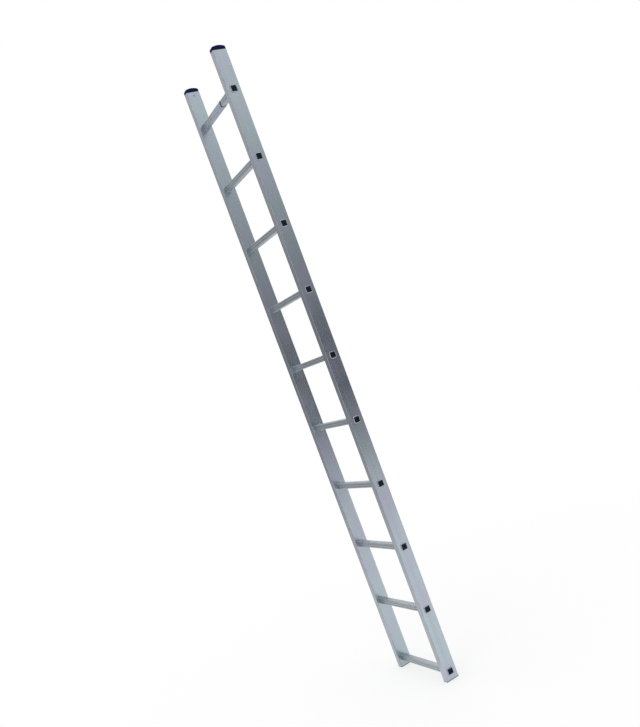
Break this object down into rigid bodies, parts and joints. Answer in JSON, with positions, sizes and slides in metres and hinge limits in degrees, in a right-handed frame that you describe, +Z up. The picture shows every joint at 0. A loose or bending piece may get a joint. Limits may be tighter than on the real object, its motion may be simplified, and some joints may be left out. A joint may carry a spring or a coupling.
{
  "type": "single section ladder",
  "caption": "Straight aluminium leaning ladder: two box-section stiles joined by square grooved rungs swaged through them, with plugged rung ends, domed top caps and flush feet.",
  "frame": {"origin": "on the floor under the soles, midway between the two feet", "axes": "+Z up along the stiles, +X along the rungs to the right, Y through the depth"},
  "size_m": [0.3966, 0.0614, 2.7375],
  "materials": {
    "stile_aluminium": "satin mill finish, drawn along the stile",
    "rung_aluminium": "satin mill finish, grooved",
    "rivet_aluminium": "dull",
    "plug_black": "moulded, slightly satin",
    "cap_blue": "moulded, half gloss",
    "foot_grey": "moulded, dull",
    "film": "plain satin film with a dark edge"
  },
  "bodies": {
    "root": {"left_stile": "stile_aluminium", "left_top_cap": "cap_blue", "left_cap_rivet": "rivet_aluminium", "left_foot": "foot_grey", "right_stile": "stile_aluminium", "right_top_cap": "cap_blue", "right_cap_rivet": "rivet_aluminium", "right_foot": "foot_grey", "rung_01": "rung_aluminium", "rung_02": "rung_aluminium", "rung_03": "rung_aluminium", "rung_04": "rung_aluminium", "rung_05": "rung_aluminium", "rung_06": "rung_aluminium", "rung_07": "rung_aluminium", "rung_08": "rung_aluminium", "rung_09": "rung_aluminium", "rung_10": "rung_aluminium", "left_rung_plug_01": "plug_black", "left_rung_plug_02": "plug_black", "left_rung_plug_03": "plug_black", "left_rung_plug_04": "plug_black", "left_rung_plug_05": "plug_black", "left_rung_plug_06": "plug_black", "left_rung_plug_07": "plug_black", "left_rung_plug_08": "plug_black", "left_rung_plug_09": "plug_black", "left_rung_plug_10": "plug_black", "right_rung_plug_01": "plug_black", "right_rung_plug_02": "plug_black", "right_rung_plug_03": "plug_black", "right_rung_plug_04": "plug_black", "right_rung_plug_05": "plug_black", "right_rung_plug_06": "plug_black", "right_rung_plug_07": "plug_black", "right_rung_plug_08": "plug_black", "right_rung_plug_09": "plug_black", "right_rung_plug_10": "plug_black", "top_rung_film": "film"}
  },
  "joints": []
}
